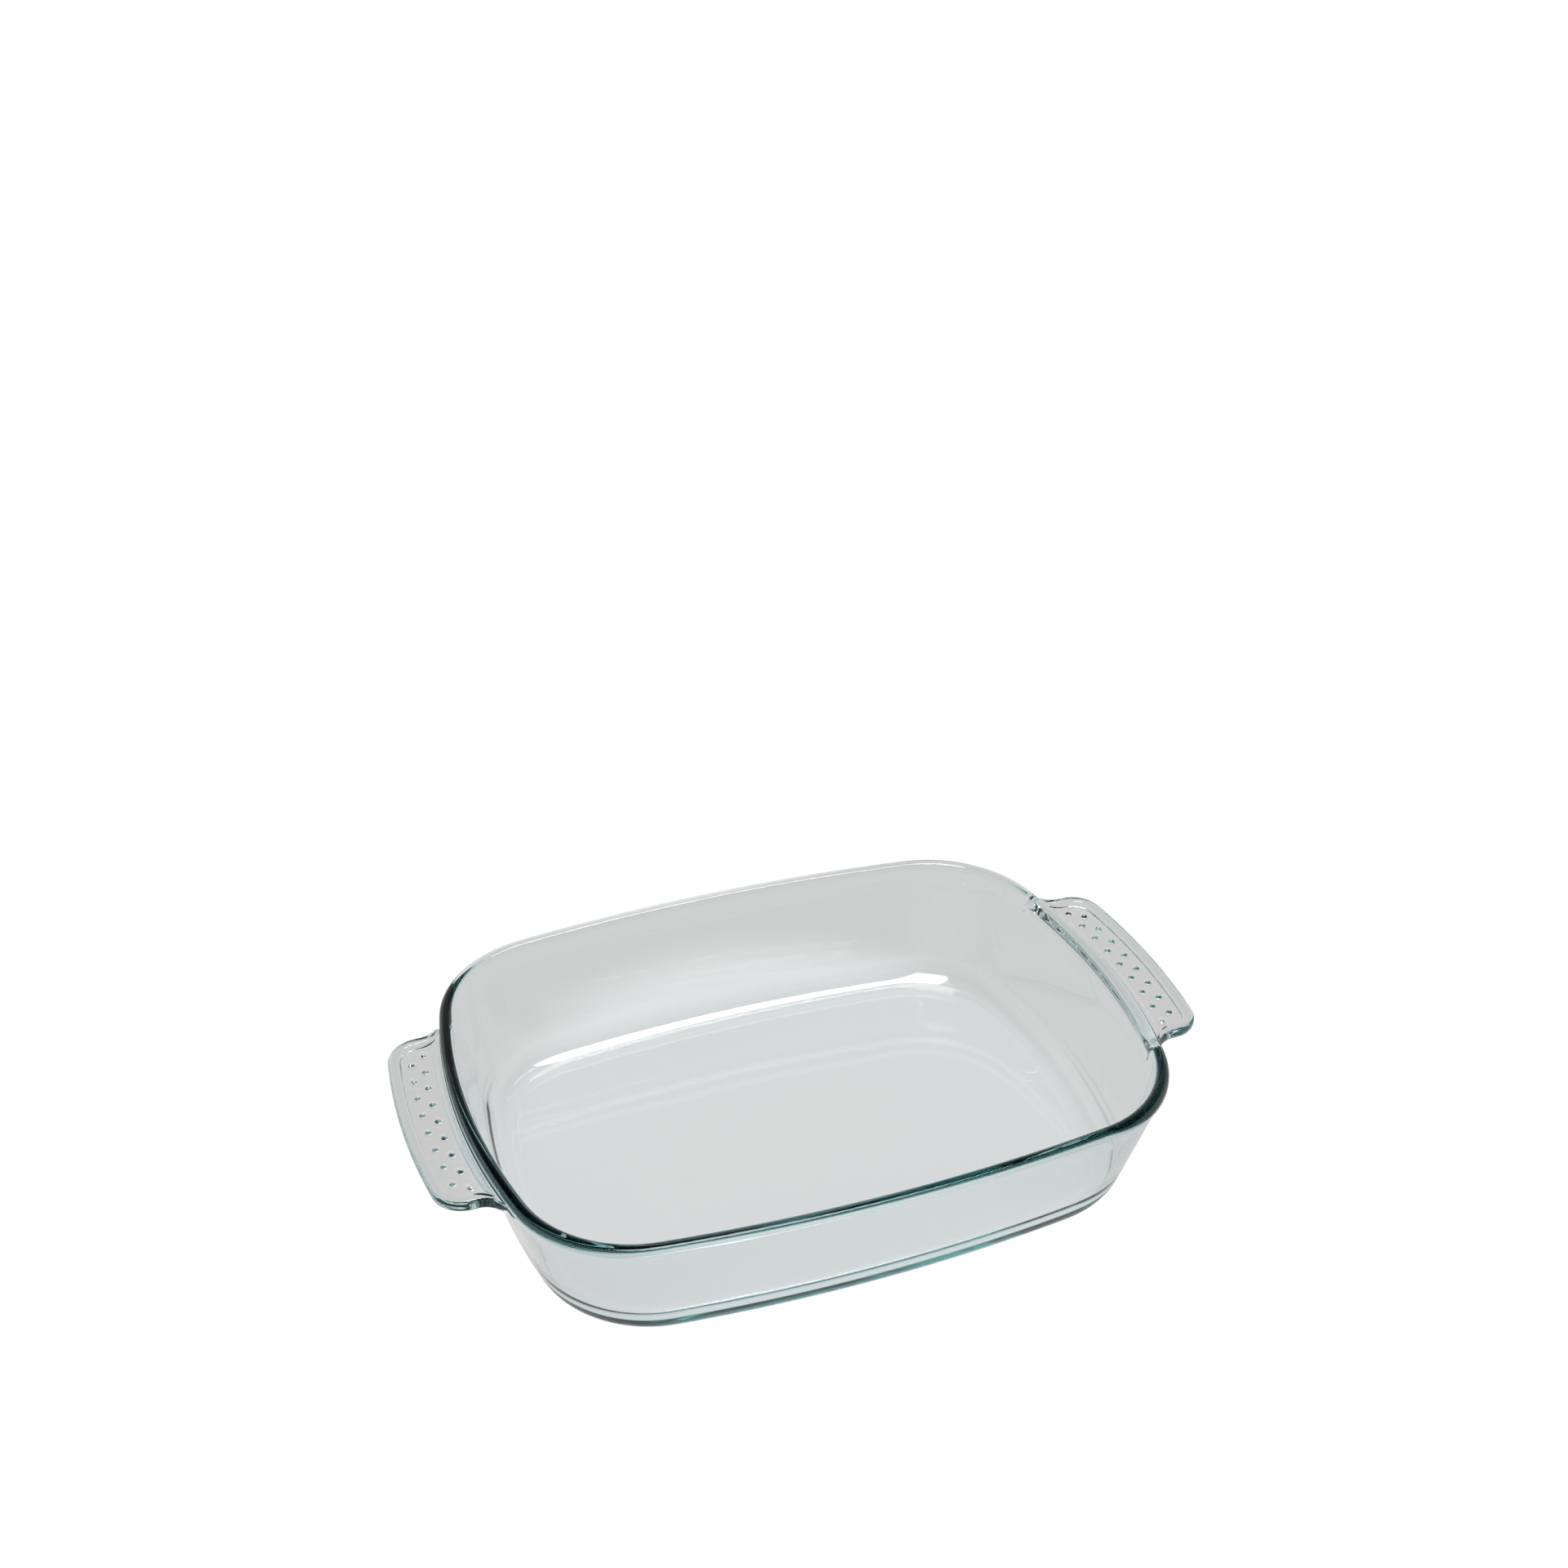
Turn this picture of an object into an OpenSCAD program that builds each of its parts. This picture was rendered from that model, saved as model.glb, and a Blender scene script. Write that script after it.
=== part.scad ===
// Rectangular pressed-glass oven dish with two studded end grips.
// Units are millimetres, +Z is up, the origin is under the middle of the foot.

/* [Overall] */
// Length over both grips
overall_l = 350; // [280:1:420]
// Width over the rim
overall_w = 233; // [190:1:280]
// Height from foot to rim crest
overall_h = 61; // [49:0.5:80]

/* [Plan shape] */
// Corner radius at the rim
corner_r = 56; // [46:1:67]
// Loss of corner radius for each millimetre the wall runs in
corner_loss = 0.4; // [0.3:0.05:1]
// Bow radius of the long sides
long_bow_r = 760; // [600:10:1500]
// Bow radius of the short ends
end_bow_r = 303; // [240:1:600]

/* [Walls] */
// Thickness of the side walls
wall_t = 4.7; // [3.8:0.1:6]
// Thickness of the floor
floor_t = 5; // [4:0.1:7]
// Outer radius between wall and foot
bottom_r = 12; // [8:0.5:14.5]
// Inner radius between wall and floor
cavity_r = 15; // [10:0.5:18]
// Distance from the rim edge in to the foot
foot_inset = 25.6; // [21:0.1:29]
// Width of the standing ring
foot_w = 6; // [4:0.5:8]
// Rise of the base from the standing ring to its middle
base_hollow = 0.6; // [0.3:0.1:1]

/* [Rim bead] */
// Width of the rounded rim bead
bead_w = 6.2; // [5:0.1:7.4]
// Height of the rounded top of the bead
bead_h = 4.2; // [3.4:0.1:5]

/* [Grips] */
// Reach of each grip beyond the rim
grip_reach = 23; // [19:0.5:28]
// Width of each grip
grip_w = 112; // [90:1:130]
// Outer corner radius of a grip
grip_corner_r = 14; // [11:0.5:17]
// Fillet where a grip meets the rim
grip_root_r = 11; // [8:0.5:13]
// Drop of the grip lip below the rim crest
grip_drop = 2.4; // [1.5:0.1:3]
// Full thickness of a grip at its lip
grip_t = 5; // [4.2:0.1:6]
// Depth of the studded panel below the lip
panel_depth = 2.4; // [1.9:0.1:2.8]
// Width of the raised lip
lip_w = 5.6; // [4.6:0.1:6.8]
// Width of the smooth band between rim and panel
band_w = 3.4; // [2.8:0.1:4.1]

/* [Studs] */
// Studs in the inner row
studs_in = 9; // [5:1:9]
// Studs in the outer row
studs_out = 8; // [4:1:8]
// Space left beyond the end studs of the inner row
stud_margin = 4.8; // [4:0.1:8]
// Diameter of a stud
stud_d = 3.8; // [3.1:0.1:4.5]
// Height of a stud
stud_h = 1.1; // [0.9:0.05:1.3]
// Distance from the inner row to the outer row
row_gap = 5.4; // [4.4:0.1:6.5]

/* [Hidden] */
$fn = 72;

glass = [0.80, 0.90, 0.88, 0.55];

a = overall_l / 2 - grip_reach;
b = overall_w / 2;

// Arc centres of the long sides and of the short ends.
c_long = [0, b - long_bow_r];
c_end = [a - end_bow_r, 0];
span_n = norm(c_long - c_end);
ex = (c_long - c_end) / span_n;

// Corner arc of the outline that runs d inside the rim: it touches the end
// arc and the long arc, and gives its radius, its centre and both joins.
function cor_r(d) = corner_r - corner_loss * d;
function cor_c(d) =
    let (r_e = end_bow_r - d - cor_r(d))
    let (r_l = long_bow_r - d - cor_r(d))
    let (along = (r_e * r_e - r_l * r_l + span_n * span_n) / (2 * span_n))
    let (rise = sqrt(r_e * r_e - along * along))
    c_end + along * ex + rise * [-ex[1], ex[0]];
function join_a(d) = let (v = cor_c(d) - c_end) atan2(v[1], v[0]);
function join_b(d) = let (v = cor_c(d) - c_long) atan2(v[1], v[0]);
c_cor = cor_c(0);
ang_a = join_a(0);
ang_b = join_b(0);

// Heights of the rim and of the grips.
z_bead = overall_h - bead_h;
z_lip = overall_h - grip_drop;
z_under = z_lip - grip_t;
z_panel = z_lip - panel_depth;
z_band = max(z_panel, min(z_panel + 0.6, z_bead - 0.1));
z_wall0 = z_under - 6;

// Draft of the wall: a line from the bead that just touches the bottom radius.
bead_in = 0.9;
run_x = foot_inset - bead_in;
run_z = z_bead - 0.4 - bottom_r;
draft = atan2(run_x, run_z) - asin(bottom_r / norm([run_x, run_z]));

// Inset of the outer wall face and of the inner wall face at height z.
function out_d(z) = foot_inset - bottom_r / cos(draft)
                    - (z - bottom_r) * tan(draft);
wall_x = wall_t / cos(draft);
function in_d(z) = out_d(z) + wall_x;

// Grip outline. The edge follows the end arc; the root fillet touches
// the end arc, or the corner arc where the grip is wide enough to meet it.
grip_h = grip_w / 2;
g_rad = end_bow_r + grip_reach;
g_cy = grip_h - grip_corner_r;
g_cx = sqrt(pow(g_rad - grip_corner_r, 2) - g_cy * g_cy);
g_ang = atan2(g_cy, g_cx);
y_join = end_bow_r * sin(ang_a);
f_cy = grip_h + grip_root_r;
on_end = end_bow_r * f_cy / (end_bow_r + grip_root_r) <= y_join;
f_cen = on_end ? c_end : c_cor;
f_rad = (on_end ? end_bow_r : corner_r) + grip_root_r;
f_dy = f_cy - f_cen[1];
f_cx = f_cen[0] + sqrt(f_rad * f_rad - f_dy * f_dy);
f_ang = atan2(f_dy, f_cx - f_cen[0]);
y_edge = end_bow_r * sin(g_ang);
y_root = f_cen[1] + (f_rad - grip_root_r) * sin(f_ang);

N_ROOT = 6;
N_CORNER = 6;
N_EDGE = 4;
N_COR = 9;
N_LONG = 5;

function unit(t) = [cos(t), sin(t)];
function lerp(p, q, t) = p + (q - p) * t;
function ease(t) = t * t * (3 - 2 * t);

END = 0;
CORNER = 1;
SIDE = 2;

// Arc and share of that arc at which the rim is y up one end.
function rim_at(y) = y <= y_join
    ? [END, asin(y / end_bow_r) / ang_a]
    : [CORNER, (asin((y - c_cor[1]) / corner_r) - ang_a) / (ang_b - ang_a)];

// A station is [arc, share of the arc, lip share, grip point, inward normal,
// grip share]. In the root fillet the lip narrows first, and the grip sinks
// into the wall after that.
// The first group runs from the middle of an end out to the grip root.
edge_st = [for (i = [0 : N_EDGE - 1])
    let (t = g_ang * i / N_EDGE)
    [END, t / ang_a, 1, c_end + g_rad * unit(t), -unit(t), 1]];

corner_st = [for (i = [0 : N_CORNER])
    let (t = lerp(g_ang, 90, i / N_CORNER))
    let (w = rim_at(lerp(y_edge, y_root, 0.55 * i / N_CORNER)))
    concat(w, [1, c_end + [g_cx, g_cy] + grip_corner_r * unit(t), -unit(t), 1])];

root_st = [for (i = [0 : N_ROOT])
    let (t = lerp(270, 180 + f_ang, i / N_ROOT))
    let (w = rim_at(lerp(y_edge, y_root, 0.66 + 0.34 * i / N_ROOT)))
    concat(w, [pow(ease(1 - i / N_ROOT), 1.6),
               [f_cx, f_cy] + grip_root_r * unit(t), unit(t),
               ease(min(1, 2 - 2 * i / N_ROOT))])];

// Free stretch of end arc between the grip root and the corner.
u_root = min(1, asin(min(y_root, y_join) / end_bow_r) / ang_a);
n_free = ceil(ang_a * (1 - u_root) / 1.6);
free_st = [for (i = [1 : 1 : n_free - 1])
    [END, lerp(u_root, 1, i / n_free), 0, [0, 0], [0, 0], 0]];

// Corner arc, from the join or from the grip root if that is further on.
u_cor = on_end ? 0 : rim_at(y_root)[1];

plain_st = concat(
    free_st,
    [for (i = [on_end ? 0 : 1 : N_COR])
        [CORNER, lerp(u_cor, 1, i / N_COR), 0, [0, 0], [0, 0], 0]],
    [for (i = [1 : N_LONG])
        [SIDE, i / N_LONG, 0, [0, 0], [0, 0], 0]]);

quarter = concat(edge_st, corner_st, root_st, plain_st);
NQ = len(quarter);

// Plan point of station s on the outline d inside the rim, and e further in
// along its normal.
function plan(s, d, e = 0) =
    let (ja = join_a(d))
    let (jb = join_b(d))
    s[0] == END ? c_end + (end_bow_r - d - e) * unit(ja * s[1])
    : s[0] == CORNER ? cor_c(d) + (cor_r(d) - e) * unit(lerp(ja, jb, s[1]))
    : c_long + (long_bow_r - d - e) * unit(lerp(jb, 90, s[1]));

// Lip inset shrinks to nothing at the root of the grip.
function lip(s, d) = s[3] + s[4] * d * s[2];

// A point of the grip skin: flat wall position blended to grip position.
function skin(s, z0, p1, z1) =
    let (p0 = plan(s, out_d(z0)))
    s[5] == 0 ? [p0[0], p0[1], z0]
              : concat(lerp(p0, p1, s[5]), [lerp(z0, z1, s[5])]);

// Flat width between the rim and the lip.
flat_w = grip_reach - lip_w;

zs = [for (k = [0 : 13]) lerp(z_wall0, z_bead - 0.4, k / 13)];

function grip_rows(s) =
    let (w_top = plan(s, 0))
    let (w_low = plan(s, out_d(z_under)))
    let (g = lip(s, lip_w))
    [
        skin(s, zs[0], plan(s, out_d(z_wall0)), z_wall0),
        skin(s, zs[1], plan(s, out_d(z_under - 2.6)), z_under - 2.6),
        skin(s, zs[2], lerp(w_low, s[3], 0.07), z_under - 0.7),
        skin(s, zs[3], lerp(w_low, s[3], 0.18), z_under),
        skin(s, zs[4], lip(s, 1.8), z_under),
        skin(s, zs[5], lip(s, 0.6), z_under + grip_t * 0.11),
        skin(s, zs[6], lip(s, 0), z_under + grip_t * 0.34),
        skin(s, zs[7], lip(s, 0), z_lip - grip_t * 0.3),
        skin(s, zs[8], lip(s, 0.6), z_lip - grip_t * 0.1),
        skin(s, zs[9], lip(s, 2.2), z_lip),
        skin(s, zs[10], lip(s, lip_w - 0.6), z_lip),
        skin(s, zs[11], g, z_panel),
        skin(s, zs[12], lerp(w_top, g, (band_w + 0.8) / flat_w), z_panel),
        skin(s, zs[13], lerp(w_top, g, band_w / flat_w), z_band)
    ];

// Rows are [inset, further inset, height].
// Rounded top of the bead: half of a superellipse of power three, flatter
// on top and tighter at its edges than an ellipse.
function soft(v) = sign(v) * pow(abs(v), 2 / 3);
N_BEAD = 8;
bead_rows = [for (k = [0 : N_BEAD])
    let (t = 180 - 180 * k / N_BEAD)
    [0, bead_w / 2 * (1 + soft(cos(t))), z_bead + bead_h * soft(sin(t))]];

// Outer bottom radius and foot ring; inner radius and floor.
N_BOT = 4;
bot_rows = [for (k = [0 : N_BOT])
    let (t = lerp(90, draft, k / N_BOT))
    [foot_inset - bottom_r * cos(t), 0, bottom_r - bottom_r * sin(t)]];

N_IN = 5;
in_z = floor_t + cavity_r;
in_c = in_d(in_z) + cavity_r / cos(draft);
in_rows = [for (k = [0 : N_IN])
    let (t = lerp(draft, 90, k / N_IN))
    [in_c - cavity_r * cos(t) - wall_x, wall_x, in_z - cavity_r * sin(t)]];

function ring3(s, row) = concat(plan(s, row[0], row[1]), [row[2]]);

function column(s) = concat(
    [ring3(s, [foot_inset + foot_w, 0, 0])],
    [for (r = bot_rows) ring3(s, r)],
    grip_rows(s),
    [for (r = bead_rows) ring3(s, r)],
    [for (r = in_rows) ring3(s, r)]);

NR = 1 + len(bot_rows) + 14 + len(bead_rows) + len(in_rows);

first = [for (s = quarter) column(s)];

function mir_x(c) = [for (p = c) [-p[0], p[1], p[2]]];
function mir_y(c) = [for (p = c) [p[0], -p[1], p[2]]];

// Full ring of columns; the shared stations on the axes appear once.
columns = concat(
    first,
    [for (i = [NQ - 2 : -1 : 0]) mir_x(first[i])],
    [for (i = [1 : NQ - 1]) mir_x(mir_y(first[i]))],
    [for (i = [NQ - 2 : -1 : 1]) mir_y(first[i])]);
NS = len(columns);

pts = concat([for (c = columns) for (p = c) p],
             [[0, 0, base_hollow], [0, 0, floor_t]]);

function at(i, k) = (i % NS) * NR + k;

skin_faces = [for (i = [0 : NS - 1]) for (k = [0 : NR - 2])
    each [[at(i, k), at(i, k + 1), at(i + 1, k + 1)],
          [at(i, k), at(i + 1, k + 1), at(i + 1, k)]]];

cap_faces = [for (i = [0 : NS - 1])
    each [[NS * NR, at(i, 0), at(i + 1, 0)],
          [NS * NR + 1, at(i + 1, NR - 1), at(i, NR - 1)]]];

cap_r = (stud_d * stud_d / 4 + stud_h * stud_h) / (2 * stud_h);

// The studs fill the panel: the inner row ends stud_margin from its sides.
stud_pitch = 2 * (grip_h - lip_w - stud_margin) / (studs_in - 1);
row_mid = end_bow_r + (band_w + flat_w) / 2;

module stud() {
    intersection() {
        translate([0, 0, stud_h - cap_r]) sphere(r = cap_r);
        translate([-stud_d, -stud_d, -0.8])
            cube([2 * stud_d, 2 * stud_d, 0.8 + 2 * stud_h]);
    }
}

module stud_row(n, r) {
    step = stud_pitch / row_mid * 180 / PI;
    for (i = [0 : n - 1]) {
        t = (i - (n - 1) / 2) * step;
        translate([c_end[0] + r * cos(t), r * sin(t), z_panel]) stud();
    }
}

module studs() {
    stud_row(studs_in, row_mid - row_gap / 2);
    stud_row(studs_out, row_mid + row_gap / 2);
}

module dish() {
    color(glass) union() {
        polyhedron(points = pts, faces = concat(skin_faces, cap_faces),
                   convexity = 8);
        studs();
        mirror([1, 0, 0]) studs();
    }
}

dish();
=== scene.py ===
"""Clear pressed-glass oven dish, shown on a white product sweep.

The dish is one piece of glass. Its visible surface is a single closed grid:
plan stations round the rim by rows down the section, worked out with numpy
from the same sizes as the solid model.
"""

import logging
import math
from dataclasses import dataclass, field
from enum import Enum

import bpy
import numpy as np
from mathutils import Matrix, Vector

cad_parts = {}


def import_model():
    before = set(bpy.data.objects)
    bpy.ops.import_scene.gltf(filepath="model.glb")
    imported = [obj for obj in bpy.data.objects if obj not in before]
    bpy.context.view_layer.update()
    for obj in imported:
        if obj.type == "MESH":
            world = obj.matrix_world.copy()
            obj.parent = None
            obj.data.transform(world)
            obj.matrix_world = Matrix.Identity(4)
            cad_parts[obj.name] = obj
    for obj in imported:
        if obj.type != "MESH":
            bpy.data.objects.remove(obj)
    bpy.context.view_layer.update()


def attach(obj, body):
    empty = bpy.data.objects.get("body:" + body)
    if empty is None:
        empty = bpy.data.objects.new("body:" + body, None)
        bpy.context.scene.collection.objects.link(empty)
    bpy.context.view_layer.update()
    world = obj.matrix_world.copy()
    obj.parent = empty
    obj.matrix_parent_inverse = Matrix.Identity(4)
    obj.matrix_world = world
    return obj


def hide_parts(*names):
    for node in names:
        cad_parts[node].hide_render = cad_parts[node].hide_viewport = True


LOG = logging.getLogger("oven_dish")
MM = 0.001


def linear_rgb(hex_code: str) -> tuple[float, float, float]:
    """Turns an sRGB hex colour into linear values.

    Args:
        hex_code: six hexadecimal digits, with or without a leading hash.

    Returns:
        Red, green and blue as linear light, 0 to 1.
    """
    digits = hex_code.lstrip("#")
    srgb = [int(digits[i : i + 2], 16) / 255 for i in (0, 2, 4)]
    red, green, blue = (
        c / 12.92 if c <= 0.04045 else ((c + 0.055) / 1.055) ** 2.4 for c in srgb
    )
    return red, green, blue


def add_node(
    tree: bpy.types.NodeTree,
    kind: str,
    inputs: dict | None = None,
    links: dict | None = None,
    **settings: object,
) -> bpy.types.Node:
    """Adds one shader node.

    Args:
        tree: node tree that takes the node.
        kind: Blender's node type name.
        inputs: constant socket values by socket name or index.
        links: output sockets to connect, by input socket name or index.
        **settings: properties set on the node itself.

    Returns:
        The new node.
    """
    node = tree.nodes.new(kind)
    for name, value in settings.items():
        setattr(node, name, value)
    for key, value in (inputs or {}).items():
        node.inputs[key].default_value = value
    for key, socket in (links or {}).items():
        tree.links.new(socket, node.inputs[key])
    return node


def fresh_material(name: str) -> tuple[bpy.types.Material, bpy.types.NodeTree]:
    """Makes a material with an empty node tree.

    Args:
        name: the material's name.

    Returns:
        The material and its tree.
    """
    material = bpy.data.materials.new(name)
    material.use_nodes = True
    material.node_tree.nodes.clear()
    return material, material.node_tree


def unit(angle: np.ndarray) -> np.ndarray:
    """Unit vectors (cosine, sine) of angles in radians, stacked last."""
    return np.stack([np.cos(angle), np.sin(angle)], axis=-1)


def blend(first: np.ndarray, second: np.ndarray, share: np.ndarray) -> np.ndarray:
    """Straight mix: first + (second - first) times share."""
    return first + (second - first) * share


def ease(share: np.ndarray) -> np.ndarray:
    """Smooth step 3t^2 - 2t^3 of a share clipped to 0..1."""
    t = np.clip(share, 0.0, 1.0)
    return t * t * (3 - 2 * t)


def cut_corners(rows: np.ndarray, rounds: int) -> np.ndarray:
    """Rounds a polyline by cutting each corner at a quarter and three quarters.

    Each round replaces every inner joint of the row axis by two points, at 3/4
    and 1/4 of its two legs, so sharp joints become smooth curves while long
    flat legs stay flat. The two ends are kept.

    Args:
        rows: points with the polyline's joints along axis 0.
        rounds: how many times the corners are cut.

    Returns:
        The rounded rows.
    """
    for _ in range(rounds):
        near = 0.75 * rows[:-1] + 0.25 * rows[1:]
        far = 0.25 * rows[:-1] + 0.75 * rows[1:]
        mid = np.stack([near, far], axis=1).reshape(-1, *rows.shape[1:])
        rows = np.concatenate([rows[:1], mid[1:-1], rows[-1:]])
    return rows


@dataclass(frozen=True)
class PressedGlass:
    """Tempered soda-lime glass, pressed and fire polished.

    To the eye it is colourless through a wall and green where light runs a
    long way inside it, along the rim. The mould leaves a very slight wave in
    the polished skin.
    """

    name: str = "pressed_soda_lime_glass"
    ior: float = 1.50
    roughness: float = 0.0
    tint: str = "#59bfc1"
    density: float = 20.0
    wave_mm: float = 42.0
    wave_lift_mm: float = 0.05

    def build(self) -> bpy.types.Material:
        """Builds the glass: a transmitting skin over an absorbing inside.

        Returns:
            The material.
        """
        material, tree = fresh_material(self.name)
        coords = add_node(tree, "ShaderNodeTexCoord")
        # One soft swell of the skin for each wave_mm of surface.
        swell = add_node(
            tree,
            "ShaderNodeTexNoise",
            {"Scale": 1 / (self.wave_mm * MM), "Detail": 1.0, "Roughness": 0.4},
            {"Vector": coords.outputs["Object"]},
        )
        bump = add_node(
            tree,
            "ShaderNodeBump",
            {"Strength": 1.0, "Distance": self.wave_lift_mm * MM},
            {"Height": swell.outputs["Fac"]},
        )
        skin = add_node(
            tree,
            "ShaderNodeBsdfPrincipled",
            {
                "Base Color": (1.0, 1.0, 1.0, 1.0),
                "Roughness": self.roughness,
                "IOR": self.ior,
                "Transmission Weight": 1.0,
            },
            {"Normal": bump.outputs["Normal"]},
        )
        inside = add_node(
            tree,
            "ShaderNodeVolumeAbsorption",
            {"Color": (*linear_rgb(self.tint), 1.0), "Density": self.density},
        )
        add_node(
            tree,
            "ShaderNodeOutputMaterial",
            links={
                "Surface": skin.outputs["BSDF"],
                "Volume": inside.outputs["Volume"],
            },
        )
        return material


@dataclass(frozen=True)
class WhiteSweep:
    """White ground under the dish: it glows pure white to the camera, carries a
    painted pool of light and painted shade seen through the glass, and casts nothing.
    """

    name: str = "white_ground_with_painted_pool"
    seen: str = "#ffffff"
    # Painted light and shade seen through the glass: the lighter colour is a painted
    # pool of light under the dish, the darker one is painted shade beside it.
    painted_light_under_dish: str = "#eae8e8"
    painted_shade_beside_dish: str = "#d5d3d2"
    painted_light_pool: tuple[float, float] = (0.118, 0.130)
    painted_light_pool_edge: tuple[float, float] = (0.95, 1.35)

    def build(self) -> bpy.types.Material:
        """Builds a surface that glows white to the camera.

        Seen through the glass it is grey, with a painted pool of light in an oval
        under the dish and painted shade beside it. The oval's half axes are given in
        metres, and the painted light fades into the painted shade between the two
        given multiples of them. From underneath it is clear, so the foot can be looked
        at.

        Returns:
            The material.
        """
        material, tree = fresh_material(self.name)
        path = add_node(tree, "ShaderNodeLightPath")
        coords = add_node(tree, "ShaderNodeTexCoord")
        painted_pool_oval = add_node(
            tree,
            "ShaderNodeMapping",
            {"Scale": (1 / self.painted_light_pool[0], 1 / self.painted_light_pool[1], 1.0)},
            {"Vector": coords.outputs["Object"]},
        )
        reach = add_node(
            tree,
            "ShaderNodeVectorMath",
            links={0: painted_pool_oval.outputs["Vector"]},
            operation="LENGTH",
        )
        edge = add_node(
            tree,
            "ShaderNodeMapRange",
            {"From Min": self.painted_light_pool_edge[0], "From Max": self.painted_light_pool_edge[1]},
            {"Value": reach.outputs["Value"]},
            interpolation_type="SMOOTHSTEP",
        )
        # Painted pool of light under the dish, fading into painted shade beside it.
        ground = add_node(
            tree,
            "ShaderNodeMix",
            links={0: edge.outputs["Result"]},
            data_type="RGBA",
        )
        ground.inputs[6].default_value = (*linear_rgb(self.painted_light_under_dish), 1.0)
        ground.inputs[7].default_value = (*linear_rgb(self.painted_shade_beside_dish), 1.0)
        shade = add_node(
            tree,
            "ShaderNodeMix",
            links={0: path.outputs["Is Camera Ray"], 6: ground.outputs[2]},
            data_type="RGBA",
        )
        shade.inputs[7].default_value = (*linear_rgb(self.seen), 1.0)
        glow = add_node(
            tree, "ShaderNodeEmission", {"Strength": 1.0}, {"Color": shade.outputs[2]}
        )
        clear = add_node(tree, "ShaderNodeBsdfTransparent")
        facing = add_node(tree, "ShaderNodeNewGeometry")
        two_way = add_node(
            tree,
            "ShaderNodeMixShader",
            links={
                0: facing.outputs["Backfacing"],
                1: glow.outputs["Emission"],
                2: clear.outputs["BSDF"],
            },
        )
        add_node(
            tree,
            "ShaderNodeOutputMaterial",
            links={"Surface": two_way.outputs["Shader"]},
        )
        return material


@dataclass(frozen=True)
class RimPlan:
    """Plan of the rim: an outline of eight arcs, sizes in millimetres.

    Long bowed sides, short bowed ends and round corners meet tangentially. An
    outline d inside the rim keeps the centres of sides and ends; its corners
    lose corner_loss of radius for each millimetre.
    """

    half_length: float = 152.0
    half_width: float = 116.5
    corner_r: float = 56.0
    corner_loss: float = 0.4
    side_r: float = 760.0
    end_r: float = 303.0

    @property
    def side_centre(self) -> np.ndarray:
        """Centre of the far long side's arc."""
        return np.array([0.0, self.half_width - self.side_r])

    @property
    def end_centre(self) -> np.ndarray:
        """Centre of the right end's arc."""
        return np.array([self.half_length - self.end_r, 0.0])

    def corner_radius(self, inset: float) -> float:
        """Corner radius of the outline at an inset."""
        return self.corner_r - self.corner_loss * inset

    def corner_centre(self, inset: float) -> np.ndarray:
        """Centre of the corner arc that touches the end and the long side.

        It is where the circles of end radius less corner radius, and side
        radius less corner radius, about their own centres, cross.

        Args:
            inset: distance of the outline inside the rim.

        Returns:
            The centre in plan.
        """
        span = self.side_centre - self.end_centre
        reach = float(np.linalg.norm(span))
        corner = self.corner_radius(inset)
        r_end, r_side = self.end_r - inset - corner, self.side_r - inset - corner
        along = (r_end**2 - r_side**2 + reach**2) / (2 * reach)
        rise = math.sqrt(r_end**2 - along**2)
        way = span / reach
        return self.end_centre + along * way + rise * np.array([-way[1], way[0]])

    def joins(self, inset: float) -> tuple[float, float]:
        """Angles at which the corner arc meets the end and the long side."""
        centre = self.corner_centre(inset)
        to_end, to_side = centre - self.end_centre, centre - self.side_centre
        return (
            math.atan2(to_end[1], to_end[0]),
            math.atan2(to_side[1], to_side[0]),
        )


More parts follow.
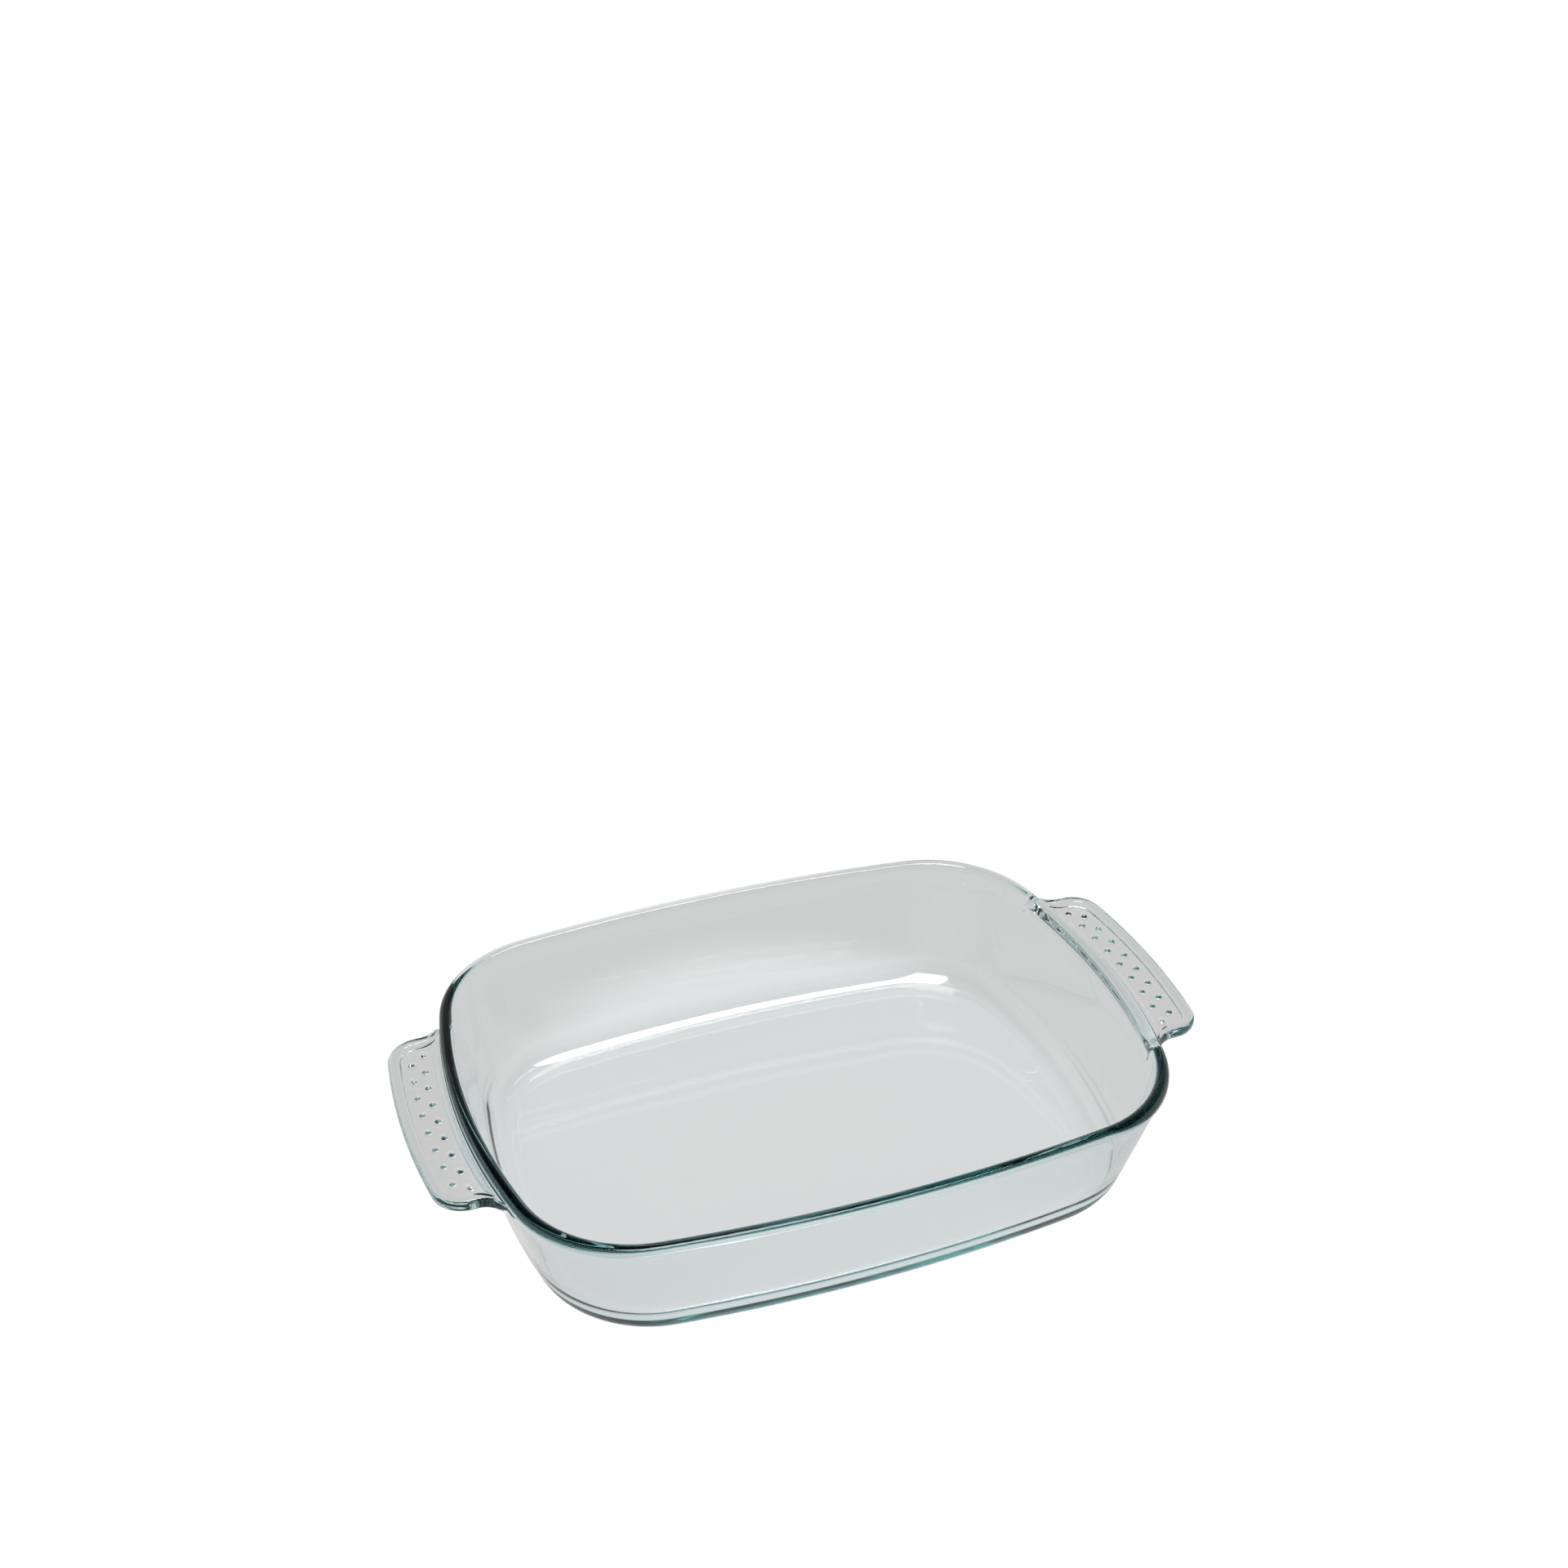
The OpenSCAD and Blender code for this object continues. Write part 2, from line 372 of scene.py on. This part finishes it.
@dataclass(frozen=True)
class WallSection:
    """Section of floor, wall and bead, sizes in millimetres."""

    height: float = 61.0
    wall_t: float = 4.7
    floor_t: float = 5.0
    bottom_r: float = 12.0
    cavity_r: float = 15.0
    foot_inset: float = 25.6
    foot_w: float = 6.0
    base_hollow: float = 0.6
    bead_w: float = 6.2
    bead_h: float = 4.2
    bead_in: float = 0.9
    bead_power: float = 3.0
    neck: float = 0.4
    half_span: float = 116.5
    bowl_insets: tuple[float, ...] = (76.0, 62.0, 50.0, 42.0, 36.0, 33.0)
    foot_points: int = 13
    bead_points: int = 25
    cavity_points: int = 17

    @property
    def bead_z(self) -> float:
        """Height at which the rounded top of the bead starts."""
        return self.height - self.bead_h

    @property
    def draft(self) -> float:
        """Lean of the wall: the line from the bead that touches the foot radius."""
        run = self.foot_inset - self.bead_in
        rise = self.bead_z - self.neck - self.bottom_r
        return math.atan2(run, rise) - math.asin(self.bottom_r / math.hypot(run, rise))

    def outer_inset(self, z: np.ndarray | float) -> np.ndarray | float:
        """Inset of the outer wall face at height z."""
        return (
            self.foot_inset
            - self.bottom_r / math.cos(self.draft)
            - (z - self.bottom_r) * math.tan(self.draft)
        )

    def inner_inset(self, z: np.ndarray | float) -> np.ndarray | float:
        """Inset of the inner wall face at height z."""
        return self.outer_inset(z) + self.wall_t / math.cos(self.draft)

    def foot_rows(self) -> np.ndarray:
        """Underside from near the middle out round the foot radius.

        The base rises from the standing ring to its middle as a shallow bowl,
        base_hollow times (1 - share^2)^2; the ring is flat; the radius is a
        circle arc from straight down to the wall's lean.

        Returns:
            Inset, further inset and height of each row.
        """
        ring_in = self.foot_inset + self.foot_w
        bowl = np.array([*self.bowl_insets, ring_in + 0.5])
        share = 1 - (bowl - ring_in) / (self.half_span - ring_in)
        rise = self.base_hollow * (1 - share**2) ** 2
        ring = np.array([ring_in - 0.5, self.foot_inset + 0.6])
        t = np.linspace(math.pi / 2, self.draft, self.foot_points)
        turn_in = self.foot_inset - self.bottom_r * np.cos(t)
        turn_z = self.bottom_r - self.bottom_r * np.sin(t)
        inset = np.concatenate([bowl, ring, turn_in])
        z = np.concatenate([rise, 0 * ring, turn_z])
        return np.stack([inset, 0 * inset, z], axis=1)

    def bead_rows(self) -> np.ndarray:
        """Rounded top of the bead, outside to inside.

        Half of a superellipse of power bead_power: across and up are the
        cosine and the sine, each raised to two over that power, sign kept.

        Returns:
            Inset, further inset and height of each row.
        """
        t = np.linspace(math.pi, 0.0, self.bead_points)
        soft = 2 / self.bead_power
        across = np.sign(np.cos(t)) * np.abs(np.cos(t)) ** soft
        up = np.abs(np.sin(t)) ** soft
        return np.stack(
            [
                0 * t,
                self.bead_w / 2 * (1 + across),
                self.bead_z + self.bead_h * up,
            ],
            axis=1,
        )

    def cavity_rows(self) -> np.ndarray:
        """Inner wall, cavity radius and floor.

        Returns:
            Inset, further inset and height of each row; the further inset is
            the wall's own thickness, so inside and outside corners share
            their centres.
        """
        top_z = self.floor_t + self.cavity_r
        centre = self.inner_inset(top_z) + self.cavity_r / math.cos(self.draft)
        t = np.linspace(self.draft, math.pi / 2, self.cavity_points)
        wall_z = np.linspace(self.bead_z - 1.5, top_z, 5)[:-1]
        inset = np.concatenate(
            [
                np.maximum(self.inner_inset(wall_z), self.bead_w),
                centre - self.cavity_r * np.cos(t),
                [centre + 1.5, centre + 6.0],
            ]
        )
        z = np.concatenate(
            [wall_z, top_z - self.cavity_r * np.sin(t), [self.floor_t] * 2]
        )
        wall = np.full(len(z), self.wall_t / math.cos(self.draft))
        return np.stack([inset - wall, wall, z], axis=1)


@dataclass(frozen=True)
class GripShape:
    """Flat grip at each end, sizes in millimetres.

    A stud's dome is stud_spread times as wide and as high as the stud, so that
    its soft foot leaves the stud its size. The rim points that pair with the
    grip's edge cover the first corner_walk of the way from corner to root
    along the corner, and the rest from root_walk on along the root.
    """

    reach: float = 23.0
    width: float = 112.0
    corner_r: float = 14.0
    root_r: float = 11.0
    drop: float = 2.4
    thickness: float = 5.0
    panel_depth: float = 2.4
    lip_w: float = 5.6
    band_w: float = 3.4
    stud_margin: float = 4.8
    studs_in: int = 9
    studs_out: int = 8
    row_gap: float = 5.4
    stud_d: float = 3.8
    stud_h: float = 1.1
    stud_spread: float = 1.15
    stud_fall: float = 1.6
    corner_walk: float = 0.55
    root_walk: float = 0.66
    lip_fade: float = 1.6

    @property
    def half_width(self) -> float:
        """Half the width of the grip."""
        return self.width / 2

    @property
    def flat_w(self) -> float:
        """Width between the rim and the lip."""
        return self.reach - self.lip_w

    def stud_centres(self, plan: RimPlan) -> np.ndarray:
        """Centres of the studs of the right grip.

        Two rows on arcs about the end's centre, a half pitch apart.

        Args:
            plan: the rim's plan.

        Returns:
            Stud centres in plan, one row each.
        """
        pitch = 2 * (self.half_width - self.lip_w - self.stud_margin)
        pitch /= self.studs_in - 1
        mid = plan.end_r + (self.band_w + self.flat_w) / 2
        rows = []
        for count, radius in (
            (self.studs_in, mid - self.row_gap / 2),
            (self.studs_out, mid + self.row_gap / 2),
        ):
            angle = (np.arange(count) - (count - 1) / 2) * pitch / mid
            rows.append(plan.end_centre + radius * unit(angle))
        return np.concatenate(rows)


class Arc(Enum):
    """The arc of the outline on which a station lies."""

    END = 0
    CORNER = 1
    SIDE = 2


@dataclass(frozen=True)
class Stations:
    """Plan stations round one quarter of the rim, as arrays of one length."""

    plan: RimPlan
    arc: np.ndarray
    along: np.ndarray
    share: np.ndarray
    lift: np.ndarray
    edge: np.ndarray
    inward: np.ndarray

    def at(self, inset: float, further: float = 0.0) -> np.ndarray:
        """Plan points on the outline at an inset, and further in from there.

        Each arc's point is its centre plus (radius - further) times the unit
        vector of the angle that lies a share along from join to join.

        Args:
            inset: distance of the outline inside the rim.
            further: extra distance in along the outline's own normal.

        Returns:
            One plan point for each station.
        """
        plan = self.plan
        first, second = plan.joins(inset)
        end = plan.end_centre + (plan.end_r - inset - further) * unit(
            first * self.along
        )
        corner = plan.corner_centre(inset) + (
            plan.corner_radius(inset) - further
        ) * unit(blend(first, second, self.along))
        side = plan.side_centre + (plan.side_r - inset - further) * unit(
            blend(second, math.pi / 2, self.along)
        )
        arc = self.arc[:, None]
        return np.where(
            arc == Arc.END.value, end, np.where(arc == Arc.CORNER.value, corner, side)
        )

    def lip(self, inset: float) -> np.ndarray:
        """Points a distance in from the grip's edge, less at the grip's root."""
        return self.edge + self.inward * (inset * self.share)[:, None]


@dataclass
class PressedDish:
    """The dish: floor, walls, bead, two grips and their studs in one skin."""

    plan: RimPlan = field(default_factory=RimPlan)
    section: WallSection = field(default_factory=WallSection)
    grip: GripShape = field(default_factory=GripShape)
    glass: PressedGlass = field(default_factory=PressedGlass)
    edge_stations: int = 96
    corner_stations: int = 14
    root_stations: int = 14
    rim_corner_stations: int = 22
    side_stations: int = 12
    panel_rows: int = 30

    def quarter(self) -> Stations:
        """Stations from the middle of the right end to the middle of a side.

        The grip's edge is an arc concentric with the end, a corner arc, and a
        root fillet that touches the end arc. Each edge point is paired with a
        rim point. Along the fillet the lip narrows first, by the share, and
        then the grip sinks into the wall, by the lift.

        Returns:
            The stations of the first quarter.
        """
        plan, grip = self.plan, self.grip
        end_c, end_r = plan.end_centre, plan.end_r
        g_rad = end_r + grip.reach
        g_cy = grip.half_width - grip.corner_r
        g_cx = math.sqrt((g_rad - grip.corner_r) ** 2 - g_cy**2)
        g_ang = math.atan2(g_cy, g_cx)
        f_cy = grip.half_width + grip.root_r
        f_cx = math.sqrt((end_r + grip.root_r) ** 2 - f_cy**2)
        f_ang = math.atan2(f_cy, f_cx)
        y_edge, y_root = end_r * math.sin(g_ang), end_r * math.sin(f_ang)
        join = plan.joins(0.0)[0]

        t0 = np.linspace(0, g_ang, self.edge_stations, endpoint=False)
        k1 = np.linspace(0, 1, self.corner_stations)
        t1 = blend(g_ang, math.pi / 2, k1)
        k2 = np.linspace(0, 1, self.root_stations)
        t2 = blend(1.5 * math.pi, math.pi + f_ang, k2)

        way1 = grip.corner_walk * k1
        way2 = blend(grip.root_walk, 1.0, k2)
        w1 = np.arcsin(blend(y_edge, y_root, way1) / end_r)
        w2 = np.arcsin(blend(y_edge, y_root, way2) / end_r)
        u_end = np.concatenate([t0, w1, w2]) / join
        u_free = np.linspace(u_end[-1], 1.0, 4)[1:-1]
        u_corner = np.linspace(0.0, 1.0, self.rim_corner_stations)
        u_side = np.linspace(0.0, 1.0, self.side_stations + 1)[1:]
        along = np.concatenate([u_end, u_free, u_corner, u_side])
        arc = np.repeat(
            [Arc.END.value, Arc.CORNER.value, Arc.SIDE.value],
            [len(u_end) + len(u_free), len(u_corner), len(u_side)],
        )
        grip_n, total = len(u_end), len(along)
        full = len(t0) + len(t1)
        share, lift = np.zeros(total), np.zeros(total)
        share[:full], lift[:full] = 1.0, 1.0
        share[full:grip_n] = ease(1 - k2) ** grip.lip_fade
        lift[full:grip_n] = ease(np.minimum(1, 2 - 2 * k2))
        edge = np.zeros((total, 2))
        edge[:grip_n] = np.concatenate(
            [
                end_c + g_rad * unit(t0),
                end_c + [g_cx, g_cy] + grip.corner_r * unit(t1),
                end_c + [f_cx, f_cy] + grip.root_r * unit(t2),
            ]
        )
        inward = np.zeros((total, 2))
        inward[:grip_n] = np.concatenate([-unit(t0), -unit(t1), unit(t2)])
        return Stations(plan, arc, along, share, lift, edge, inward)

    def skin_row(
        self, st: Stations, wall_z: float, place: np.ndarray, z: float
    ) -> np.ndarray:
        """One row of the grip's skin.

        Away from the grip the row lies on the wall at wall_z; in the grip it
        lies at place and z; between, it is the straight mix by lift.

        Args:
            st: the quarter's stations.
            wall_z: height on the plain wall.
            place: plan points in the grip.
            z: height in the grip.

        Returns:
            One point for each station.
        """
        plain = st.at(self.section.outer_inset(wall_z))
        flat = blend(plain, place, st.lift[:, None])
        height = blend(wall_z, z, st.lift)
        return np.column_stack([flat, height])

    def grip_rows(self, st: Stations) -> tuple[np.ndarray, np.ndarray, np.ndarray]:
        """Rows of the grip: under and round the lip, the panel, the band.

        Args:
            st: the quarter's stations.

        Returns:
            Three blocks of rows, each rows by stations by 3.
        """
        sec, grip = self.section, self.grip
        z_lip = sec.height - grip.drop
        z_under = z_lip - grip.thickness
        z_panel = z_lip - grip.panel_depth
        z_band = sec.bead_z - 0.1
        low, top = z_under - 6.0, sec.bead_z - sec.neck
        w_top = st.at(0.0)
        w_low = st.at(sec.outer_inset(z_under))
        inner = st.lip(grip.lip_w)
        lip_plan = [
            (st.at(sec.outer_inset(low)), low),
            (st.at(sec.outer_inset(z_under - 2.6)), z_under - 2.6),
            (blend(w_low, st.edge, 0.07), z_under - 0.6),
            (blend(w_low, st.edge, 0.18), z_under),
            (st.lip(1.9), z_under),
            (st.lip(0.6), z_under + 0.05 * grip.thickness),
            (st.lip(0.0), z_under + 0.32 * grip.thickness),
            (st.lip(0.0), z_lip - 0.3 * grip.thickness),
            (st.lip(0.8), z_lip - 0.1),
            (st.lip(2.2), z_lip + 0.1),
            (st.lip(grip.lip_w - 0.7), z_lip),
            (st.lip(grip.lip_w - 0.2), z_panel + 0.2),
            (inner, z_panel),
        ]
        band_plan = [
            (blend(w_top, inner, (grip.band_w + 0.8) / grip.flat_w), z_panel),
            (blend(w_top, inner, (grip.band_w + 0.4) / grip.flat_w), z_panel + 0.1),
            (blend(w_top, inner, grip.band_w / grip.flat_w), z_band),
            (blend(w_top, inner, 0.05), z_band),
        ]
        wall_z = np.linspace(low, top, len(lip_plan) + len(band_plan))
        count = len(lip_plan)
        lip = np.stack(
            [
                self.skin_row(st, wall_z[i], place, z)
                for i, (place, z) in enumerate(lip_plan)
            ]
        )
        band = np.stack(
            [
                self.skin_row(st, wall_z[count + i], place, z)
                for i, (place, z) in enumerate(band_plan)
            ]
        )
        k = np.linspace(0, 1, self.panel_rows + 2)[1:-1, None, None]
        panel = blend(lip[-1][None], band[0][None], k)
        return cut_corners(lip, 2), self.raise_studs(st, panel), cut_corners(band, 1)

    def raise_studs(self, st: Stations, panel: np.ndarray) -> np.ndarray:
        """Lifts the panel's rows into studs.

        Each stud is a dome: its height falls as (1 - (r / R)^2)^stud_fall from
        the centre, R being its radius times stud_spread, so its foot runs
        softly into the panel.

        Args:
            st: the quarter's stations.
            panel: flat panel rows.

        Returns:
            The panel rows with the studs raised.
        """
        grip = self.grip
        centres = grip.stud_centres(self.plan)
        apart = np.linalg.norm(panel[:, :, None, :2] - centres, axis=3).min(axis=2)
        radius = grip.stud_spread * grip.stud_d / 2
        fall = np.clip(1 - (apart / radius) ** 2, 0, 1) ** grip.stud_fall
        full_width = st.share > 0.999
        out = panel.copy()
        out[:, :, 2] += grip.stud_spread * grip.stud_h * fall * full_width
        return out

    def surface(self) -> tuple[np.ndarray, np.ndarray]:
        """The whole skin as points and faces.

        One quarter is worked out, mirrored in X and in Y, and joined into a
        ring of columns; quads join neighbours and two fans close the floor and
        the base.

        Returns:
            Points in metres, and faces of four corners, where a fan's triangle
            repeats its last corner.
        """
        st = self.quarter()
        sec = self.section

        def ring(rows: np.ndarray) -> np.ndarray:
            """Rows of inset, further inset and height as points of the quarter."""
            return np.stack(
                [
                    np.column_stack([st.at(d, e), np.full(len(st.arc), z)])
                    for d, e, z in rows
                ]
            )

        lip, panel, band = self.grip_rows(st)
        block = np.concatenate(
            [
                ring(sec.foot_rows()),
                lip,
                panel,
                band,
                ring(sec.bead_rows()),
                ring(sec.cavity_rows()),
            ]
        )
        columns = np.swapaxes(block, 0, 1)
        flip_x, flip_y = np.array([-1.0, 1, 1]), np.array([1.0, -1, 1])
        whole = np.concatenate(
            [
                columns,
                columns[-2::-1] * flip_x,
                columns[1:] * flip_x * flip_y,
                columns[-2:0:-1] * flip_y,
            ]
        )
        turns, depth = whole.shape[:2]
        points = np.concatenate(
            [
                whole.reshape(-1, 3),
                [[0.0, 0.0, sec.base_hollow], [0.0, 0.0, sec.floor_t]],
            ]
        )
        i = np.arange(turns)
        j = (i + 1) % turns
        k = np.arange(depth - 1)
        a = i[:, None] * depth + k
        b = j[:, None] * depth + k
        quads = np.stack([a, b, b + 1, a + 1], axis=-1).reshape(-1, 4)
        under = np.full(turns, turns * depth)
        over = under + 1
        base = np.stack([under, j * depth, i * depth, i * depth], axis=-1)
        last = depth - 1
        floor = np.stack(
            [over, i * depth + last, j * depth + last, j * depth + last], axis=-1
        )
        return points * MM, np.concatenate([quads, base, floor])

    def build(self) -> bpy.types.Object:
        """Makes the dish's object and dresses it in glass.

        Returns:
            The object, riding on the one body in place of the solid.
        """
        points, faces = self.surface()
        corners = [f[:3] if f[2] == f[3] else f for f in faces.tolist()]
        mesh = bpy.data.meshes.new("glass_dish")
        mesh.from_pydata(points.tolist(), [], corners)
        mesh.polygons.foreach_set("use_smooth", np.ones(len(corners), dtype=bool))
        mesh.materials.append(self.glass.build())
        mesh.validate()
        dish = bpy.data.objects.new("glass_dish", mesh)
        bpy.context.collection.objects.link(dish)
        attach(dish, "root")
        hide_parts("dish")
        LOG.info("glass_dish: %d points, %d faces", len(points), len(corners))
        return dish


@dataclass
class Studio:
    """White sweep, a soft box out of sight, and the camera.

    Lengths are metres, angles degrees, the lens millimetres on a 36 mm
    sensor. The dome's glow runs from the first of dome_glow to the second
    between the two dome_heights, which are the sines of elevations.
    """

    sweep: WhiteSweep = field(default_factory=WhiteSweep)
    floor_half: float = 6.0
    floor_drop: float = 0.0004
    dome_heights: tuple[float, float] = (0.35, 0.70)
    dome_glow: tuple[float, float] = (0.90, 0.02)
    box_place: tuple[float, float, float] = (0.15, 0.15, 1.4)
    box_size: tuple[float, float] = (0.55, 0.9)
    box_power: float = 15.0
    box_aim: tuple[float, float, float] = (0.0, 0.0, 0.03)
    bounces: int = 40
    azimuth: float = -20.48
    elevation: float = 30.64
    distance: float = 0.9293
    aim_right: float = -0.00576
    aim_up: float = 0.15987
    lens: float = 47.09

    def floor(self) -> bpy.types.Object:
        """Lays the white floor."""
        r = self.floor_half
        mesh = bpy.data.meshes.new("white_floor")
        mesh.from_pydata(
            [(-r, -r, 0), (r, -r, 0), (r, r, 0), (-r, r, 0)], [], [(0, 1, 2, 3)]
        )
        mesh.materials.append(self.sweep.build())
        floor = bpy.data.objects.new("white_floor", mesh)
        floor.location.z = -self.floor_drop
        bpy.context.collection.objects.link(floor)
        return floor

    def surround(self) -> None:
        """Lights the world: white to the eye, a soft dome to the glass."""
        world = bpy.data.worlds.new("studio_dome")
        world.use_nodes = True
        tree = world.node_tree
        tree.nodes.clear()
        path = add_node(tree, "ShaderNodeLightPath")
        coords = add_node(tree, "ShaderNodeTexCoord")
        split = add_node(
            tree, "ShaderNodeSeparateXYZ", links={0: coords.outputs["Generated"]}
        )
        # Bright low down, dim overhead: what darkens a clear rim.
        dome = add_node(
            tree,
            "ShaderNodeMapRange",
            {
                "From Min": self.dome_heights[0],
                "From Max": self.dome_heights[1],
                "To Min": self.dome_glow[0],
                "To Max": self.dome_glow[1],
            },
            {"Value": split.outputs["Z"]},
        )
        strength = add_node(
            tree,
            "ShaderNodeMix",
            {3: 1.0},
            {0: path.outputs["Is Camera Ray"], 2: dome.outputs["Result"]},
            data_type="FLOAT",
        )
        ground = add_node(
            tree,
            "ShaderNodeBackground",
            {"Color": (1.0, 1.0, 1.0, 1.0)},
            {"Strength": strength.outputs[0]},
        )
        add_node(
            tree,
            "ShaderNodeOutputWorld",
            links={"Surface": ground.outputs["Background"]},
        )
        bpy.context.scene.world = world

    def soft_box(self) -> bpy.types.Object:
        """Hangs one rectangular soft box over the dish, facing it."""
        lamp = bpy.data.lights.new("top_soft_box", "AREA")
        lamp.shape = "RECTANGLE"
        lamp.size, lamp.size_y = self.box_size
        lamp.energy = self.box_power
        box = bpy.data.objects.new("top_soft_box", lamp)
        box.location = self.box_place
        aim = Vector(self.box_aim) - Vector(self.box_place)
        box.rotation_mode = "QUATERNION"
        box.rotation_quaternion = aim.to_track_quat("-Z", "Y")
        box.visible_camera = False
        bpy.context.collection.objects.link(box)
        return box

    def camera(self) -> bpy.types.Object:
        """Sets up the camera from its azimuth, elevation and distance.

        The camera looks along the line from azimuth and elevation, moved
        sideways and up in its own plane by aim_right and aim_up.

        Returns:
            The camera.
        """
        az, el = math.radians(self.azimuth), math.radians(self.elevation)
        back = Vector(
            (
                math.sin(az) * math.cos(el),
                -math.cos(az) * math.cos(el),
                math.sin(el),
            )
        )
        right = (-back).cross(Vector((0, 0, 1))).normalized()
        up = right.cross(-back)
        data = bpy.data.cameras.new("product_camera")
        data.sensor_width = 36.0
        data.lens = self.lens
        data.clip_start, data.clip_end = 0.02, 40.0
        camera = bpy.data.objects.new("product_camera", data)
        spot = back * self.distance + right * self.aim_right + up * self.aim_up
        turn = Matrix((right, up, back)).transposed().to_4x4()
        camera.matrix_world = Matrix.Translation(spot) @ turn
        bpy.context.collection.objects.link(camera)
        bpy.context.scene.camera = camera
        return camera

    def build(self) -> None:
        """Builds the whole studio."""
        scene = bpy.context.scene
        scene.view_settings.view_transform = "Standard"
        scene.view_settings.look = "None"
        scene.cycles.max_bounces = self.bounces
        scene.cycles.transmission_bounces = self.bounces
        scene.cycles.glossy_bounces = self.bounces
        self.floor()
        self.surround()
        self.soft_box()
        self.camera()
        LOG.info("studio: floor, dome, soft box, camera")


def main() -> None:
    """Builds the dish and the studio."""
    logging.basicConfig(level=logging.INFO)
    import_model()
    PressedDish().build()
    Studio().build()


if __name__ == "__main__":
    main()
